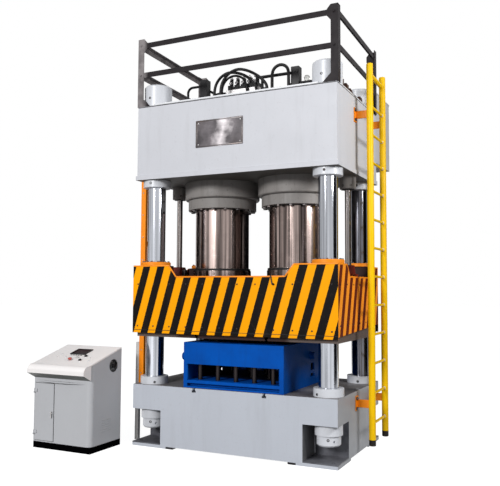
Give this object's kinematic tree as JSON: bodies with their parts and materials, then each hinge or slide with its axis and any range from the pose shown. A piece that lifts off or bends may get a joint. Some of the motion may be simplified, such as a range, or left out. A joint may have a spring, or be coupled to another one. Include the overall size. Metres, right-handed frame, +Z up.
{
  "type": "four-column hydraulic press",
  "caption": "Four-column hydraulic press with twin rams, striped slide guard, blue die frame, top oil tank, ladder and control console.",
  "frame": {"origin": "on the floor, at the centre of the four foundation bolt holes in the bed's feet", "axes": "+X to the operator's right, -Y towards the operator, +Z up"},
  "size_m": [3.208, 2.6355, 4.235],
  "materials": {
    "body_grey": "satin",
    "slide_dark": "satin",
    "pipe_black": "satin",
    "machined_steel": "ground",
    "column_steel": "polished",
    "nut_steel": "oiled",
    "dark_red": "satin",
    "stripe_yellow": "gloss",
    "orange": "satin",
    "yellow": "satin",
    "blue": "satin",
    "guard_black": "satin",
    "tank_grey": "satin",
    "sign_steel": "polished",
    "valve_steel": "zinc plated",
    "motor_blue": "satin",
    "hose_rubber": "matt",
    "seal_black": "matt",
    "black_plastic": "matt",
    "desk_white": "satin",
    "plinth_black": "satin",
    "screen_glass": "gloss",
    "button_red": "gloss",
    "brass_fit": "zinc plated",
    "wiring_grey": "satin"
  },
  "bodies": {
    "press_frame": {"bed": "body_grey", "levelling_wedges": "guard_black", "die_posts": "nut_steel", "column_front_left": "column_steel", "column_front_right": "column_steel", "column_rear_left": "column_steel", "column_rear_right": "column_steel", "column_collars": "body_grey", "column_nuts": "body_grey", "crown": "body_grey", "crown_deck": "body_grey", "sign_plate": "sign_steel", "main_cylinders": "machined_steel", "glands": "body_grey", "gland_bolts": "nut_steel", "rod_seals": "seal_black", "return_cylinders": "body_grey", "switch_rail": "orange", "stroke_sensors": "brass_fit", "cable_duct": "body_grey", "die_frame": "blue", "ladder": "yellow", "ladder_brackets": "orange", "ladder_bolts": "nut_steel", "guard_posts": "guard_black", "guard_rails": "guard_black", "oil_tank": "tank_grey", "prefill_valves": "pipe_black", "valve_manifold": "valve_steel", "solenoid_valves": "black_plastic", "drive_motor": "motor_blue", "oil_pump": "valve_steel", "oil_pipes": "pipe_black", "hose_fittings": "brass_fit", "hose_outer": "hose_rubber", "hose_middle": "hose_rubber", "hose_inner": "hose_rubber", "hose_loop": "hose_rubber", "console_plinth": "plinth_black", "console_cabinet": "body_grey", "console_desk": "desk_white", "console_backplate": "wiring_grey", "console_screen": "screen_glass", "fan_guard": "black_plastic"},
    "slide_assembly": {"slide": "slide_dark", "plungers": "machined_steel", "guide_bushes": "orange", "return_rods": "column_steel", "rod_feet": "dark_red", "shroud_front": "stripe_yellow", "shroud_panels": "stripe_yellow", "trip_dog": "nut_steel"},
    "pump_drive": {"drive_shaft": "nut_steel"},
    "console_leaf": {"console_door": "body_grey"},
    "leaf_handle": {"door_handle": "brass_fit"},
    "cooling_rotor": {"fan_rotor": "black_plastic"},
    "rear_start_button": {"start_button_rear": "black_plastic"},
    "front_start_button": {"start_button_front": "black_plastic"},
    "emergency_button": {"stop_button": "button_red"},
    "mode_knob": {"selector_knob": "black_plastic"}
  },
  "joints": [
    {"name": "slide_stroke", "type": "slide", "parent": "press_frame", "child": "slide_assembly", "axis": [0, 0, 1], "range_m": [-0.035, 0.59]},
    {"name": "pump_spin", "type": "hinge", "parent": "press_frame", "child": "pump_drive", "pos_m": [0, 0.4, 3.705], "axis": [1, 0, 0], "continuous": true},
    {"name": "leaf_swing", "type": "hinge", "parent": "press_frame", "child": "console_leaf", "pos_m": [-1.917, -1.224, 0.36], "axis": [0, 0, -1], "range_deg": [0, 110]},
    {"name": "handle_turn", "type": "hinge", "parent": "console_leaf", "child": "leaf_handle", "pos_m": [-1.69, -1.22, 0.352], "axis": [0, 1, 0], "range_deg": [0, 90]},
    {"name": "fan_spin", "type": "hinge", "parent": "press_frame", "child": "cooling_rotor", "pos_m": [-1.23, -0.869, 0.811], "axis": [1, 0, 0], "continuous": true},
    {"name": "rear_start_press", "type": "slide", "parent": "press_frame", "child": "rear_start_button", "axis": [0, 0.2756, -0.9613], "range_m": [0, 0.005], "stiffness_N_per_m": 600, "springref_m": -0.002},
    {"name": "front_start_press", "type": "slide", "parent": "press_frame", "child": "front_start_button", "axis": [0, 0.2756, -0.9613], "range_m": [0, 0.005], "stiffness_N_per_m": 600, "springref_m": -0.002},
    {"name": "stop_press", "type": "slide", "parent": "press_frame", "child": "emergency_button", "axis": [0, 0.2756, -0.9613], "range_m": [0, 0.006]},
    {"name": "knob_turn", "type": "hinge", "parent": "press_frame", "child": "mode_knob", "pos_m": [-1.515, -1.06183, 0.89128], "axis": [0, -0.2756, 0.9613], "range_deg": [-45, 45]}
  ]
}
